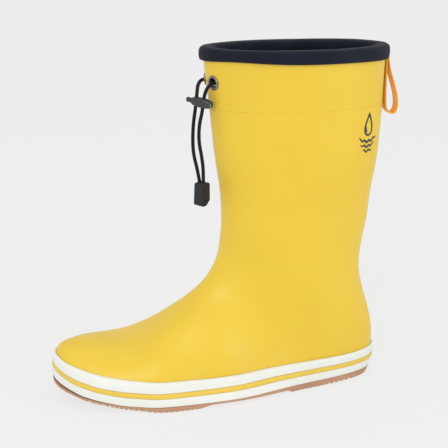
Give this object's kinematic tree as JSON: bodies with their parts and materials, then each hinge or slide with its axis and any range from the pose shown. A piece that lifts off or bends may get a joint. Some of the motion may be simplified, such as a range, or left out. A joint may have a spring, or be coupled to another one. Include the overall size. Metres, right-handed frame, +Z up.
{
  "type": "rubber rain boot",
  "caption": "Mid-calf rubber rain boot with a rolled neoprene collar, a drawcord with a spring lock at the shin, a webbing pull loop and a gum sole with striped foxing.",
  "frame": {"origin": "on the ground, under the middle of the boot's overall box", "axes": "+Z up, toe towards -X, heel and pull loop towards +X, outer side of the foot towards -Y, inner side towards +Y"},
  "size_m": [0.303, 0.1072, 0.2953],
  "materials": {
    "upper_rubber": "satin yellow rubber",
    "foxing_white": "matte off-white rubber",
    "foxing_yellow": "matte yellow rubber",
    "gum_rubber": "natural gum rubber",
    "neoprene_navy": "navy knit-faced neoprene",
    "lining_textile": "grey knitted lining",
    "insole_fibre": "pressed fibre board",
    "footbed_fabric": "fabric over foam",
    "midsole_foam": "blown rubber",
    "shank_steel": "plain steel strip",
    "eyelet_metal": "dark painted brass",
    "cord_textile": "braided navy cord",
    "cord_lock_plastic": "moulded navy plastic",
    "cord_end_plastic": "moulded navy plastic",
    "spring_steel": "spring wire",
    "loop_webbing": "orange woven tape"
  },
  "bodies": {
    "boot": {"rubber_upper": "upper_rubber", "toe_stiffener": "midsole_foam", "heel_counter": "midsole_foam", "inner_lining": "lining_textile", "footbed": "footbed_fabric", "insole_board": "insole_fibre", "midsole_filler": "midsole_foam", "steel_shank": "shank_steel", "gum_outsole": "gum_rubber", "foxing_lower_band": "foxing_white", "foxing_stripe": "foxing_yellow", "foxing_upper_band": "foxing_white", "collar_binding": "neoprene_navy", "drawcord_tunnel_tape": "lining_textile", "drawcord_in_tunnel": "cord_textile", "eyelet_lateral": "eyelet_metal", "eyelet_medial": "eyelet_metal", "eyelet_washer_lateral": "eyelet_metal", "eyelet_washer_medial": "eyelet_metal", "pull_loop_tails": "loop_webbing"},
    "cord_strands": {"drawcord_lateral": "cord_textile", "drawcord_medial": "cord_textile", "cord_end_body": "cord_end_plastic"},
    "cord_lock": {"cord_lock_body": "cord_lock_plastic", "cord_lock_spring": "spring_steel"},
    "lock_plunger": {"cord_lock_plunger": "cord_lock_plastic"},
    "end_cover": {"cord_end_cover": "cord_end_plastic"},
    "pull_loop": {"pull_loop": "loop_webbing"}
  },
  "joints": [
    {"name": "drawcord_swing", "type": "hinge", "parent": "boot", "child": "cord_strands", "pos_m": [-0.0146, 0, 0.2667], "axis": [0, 1, 0], "range_deg": [0, 80], "deforming": ["drawcord_lateral", "drawcord_medial"]},
    {"name": "cord_lock_slide", "type": "slide", "parent": "cord_strands", "child": "cord_lock", "axis": [0, 0.04, -0.9992], "range_m": [0, 0.052], "deforming": ["drawcord_lateral", "drawcord_medial"]},
    {"name": "plunger_press", "type": "slide", "parent": "cord_lock", "child": "lock_plunger", "axis": [0.702, -0.702, -0.1203], "range_m": [0, 0.0026], "stiffness_N_per_m": 600, "springref_m": -0.003, "deforming": ["cord_lock_spring"]},
    {"name": "cord_end_cover_hinge", "type": "hinge", "parent": "cord_strands", "child": "end_cover", "pos_m": [-0.02422, -0.00657, 0.163], "axis": [0.527, -0.8499, 0], "range_deg": [0, 100]},
    {"name": "pull_loop_flip", "type": "hinge", "parent": "boot", "child": "pull_loop", "pos_m": [0.1382, 0, 0.2812], "axis": [0, -1, 0], "range_deg": [0, 90]}
  ]
}
